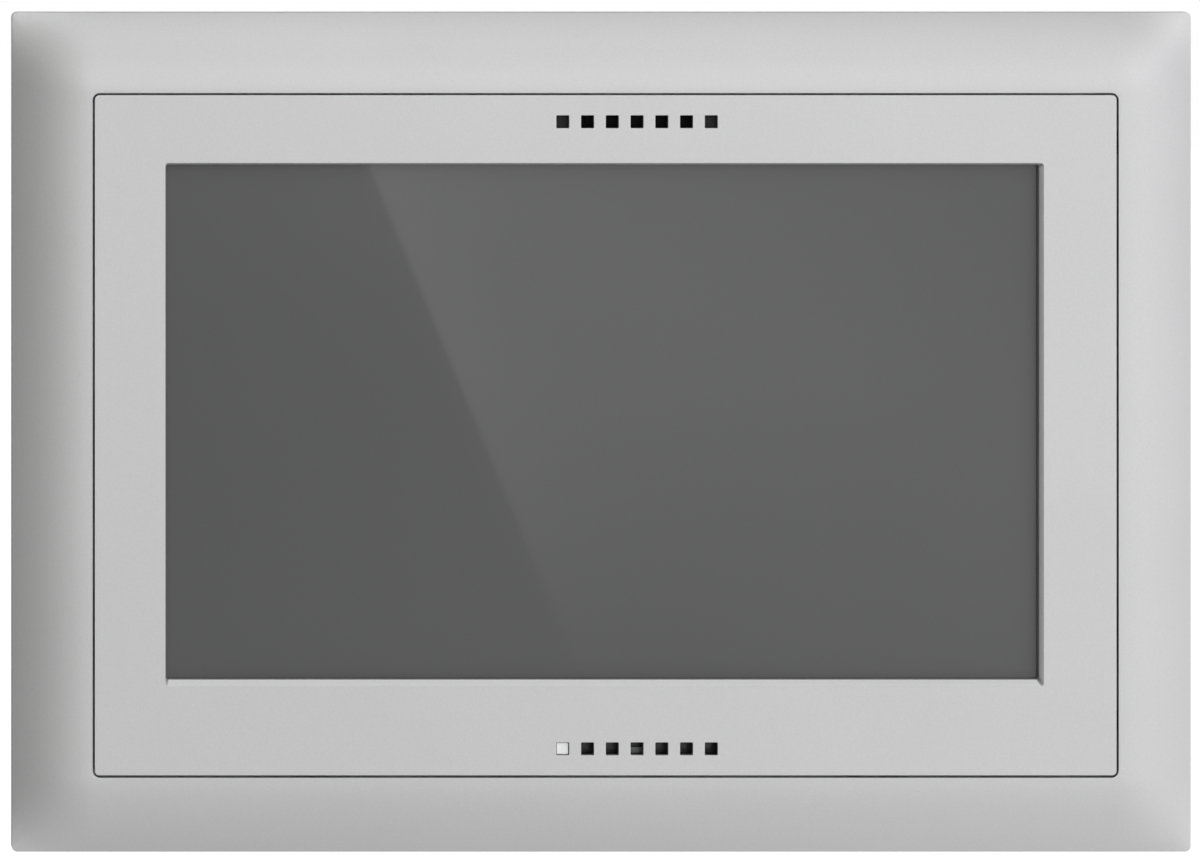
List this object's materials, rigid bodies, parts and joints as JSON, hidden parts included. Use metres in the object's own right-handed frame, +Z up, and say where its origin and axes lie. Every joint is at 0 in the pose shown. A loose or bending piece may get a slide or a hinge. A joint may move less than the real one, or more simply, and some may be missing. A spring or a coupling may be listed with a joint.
{
  "type": "wall-mounted touch panel",
  "caption": "Flush-mounted control panel with a touch display, a swelling clip-on cover frame, rear connectors and a support frame that fixes to the wall.",
  "frame": {"origin": "centre of the bounding box, on the panel's centre line; the wall plane is at Y = -0.0112", "axes": "+X to the right as seen from the room, +Y into the wall, +Z up; the display faces -Y"},
  "size_m": [0.212, 0.0396, 0.151],
  "materials": {
    "silver_lacquer": "satin metallic lacquer with a fine grain on moulded plastic",
    "display_glass": "glossy, dark grey with the display off",
    "display_cell": "satin polariser",
    "foam": "matte grey foam",
    "black_plastic": "fine moulded texture",
    "grey_plastic": "fine moulded texture",
    "backlight": "white diffuser",
    "zinc_steel": "zinc-plated sheet",
    "spring_steel": "bright spring steel",
    "screw_steel": "nickel-plated",
    "aluminium": "satin",
    "board": "solder mask",
    "black_board": "black solder mask",
    "dark_steel": "dull nickel silver",
    "chip": "moulded epoxy",
    "capacitor_can": "sleeved can",
    "light_guide": "translucent",
    "diode": "clear resin",
    "red_diode": "tinted resin",
    "flex": "polyimide film",
    "green_plastic": "moulded",
    "red_plastic": "moulded",
    "pale_grey_plastic": "moulded",
    "contacts": "gold-plated",
    "diaphragm": "film"
  },
  "bodies": {
    "wall_mount": {"mounting_frame": "zinc_steel", "wall_screw_1": "screw_steel", "wall_screw_2": "screw_steel", "wall_screw_3": "screw_steel", "wall_screw_4": "screw_steel", "retaining_spring_1": "spring_steel", "retaining_spring_2": "spring_steel", "retaining_spring_3": "spring_steel", "retaining_spring_4": "spring_steel"},
    "cover_frame": {"cover_frame": "silver_lacquer"},
    "display_unit": {"bezel": "silver_lacquer", "window_gasket": "foam", "touch_glass": "display_glass", "lcd_cell": "display_cell", "lcd_frame": "zinc_steel", "backlight_panel": "backlight", "carrier_frame": "black_plastic", "speaker_housing": "black_plastic", "speaker_diaphragm": "diaphragm", "speaker_magnet": "spring_steel", "front_board": "black_board", "microphone": "dark_steel", "key_switch": "black_plastic", "status_led": "diode", "front_cable": "flex", "main_board": "board", "processor": "chip", "heat_spreader": "aluminium", "capacitor_1": "capacitor_can", "capacitor_2": "capacitor_can", "inductor": "chip", "ethernet_jack": "aluminium", "usb_port": "aluminium", "power_socket": "green_plastic", "bus_pins": "contacts", "cell_holder": "black_plastic", "coin_cell": "spring_steel", "program_switch": "black_plastic", "program_led": "red_diode", "lcd_cable": "flex", "rear_cover": "grey_plastic", "cover_screw_1": "screw_steel", "cover_screw_2": "screw_steel", "cover_screw_3": "screw_steel", "cover_screw_4": "screw_steel", "bezel_screw_1": "screw_steel", "bezel_screw_2": "screw_steel", "bezel_screw_3": "screw_steel", "bezel_screw_4": "screw_steel", "board_screw_1": "screw_steel", "board_screw_2": "screw_steel"},
    "status_key": {"status_key": "light_guide"},
    "program_button": {"program_button": "pale_grey_plastic"},
    "power_plug": {"power_plug": "green_plastic", "plug_screw_1": "screw_steel", "plug_screw_2": "screw_steel"},
    "bus_terminal": {"bus_terminal_red": "red_plastic", "bus_terminal_grey": "pale_grey_plastic"}
  },
  "joints": [
    {"name": "cover_pull_off", "type": "slide", "parent": "wall_mount", "child": "cover_frame", "axis": [0, -1, 0], "range_m": [0, 0.01]},
    {"name": "unit_pull_out", "type": "slide", "parent": "wall_mount", "child": "display_unit", "axis": [0, -1, 0], "range_m": [0, 0.04]},
    {"name": "status_key_press", "type": "slide", "parent": "display_unit", "child": "status_key", "axis": [0, 1, 0], "range_m": [0, 0.0005]},
    {"name": "program_button_press", "type": "slide", "parent": "display_unit", "child": "program_button", "axis": [0, -1, 0], "range_m": [0, 0.0005]},
    {"name": "power_plug_pull", "type": "slide", "parent": "display_unit", "child": "power_plug", "axis": [0, 1, 0], "range_m": [0, 0.01]},
    {"name": "bus_terminal_pull", "type": "slide", "parent": "display_unit", "child": "bus_terminal", "axis": [0, 1, 0], "range_m": [0, 0.01]}
  ]
}
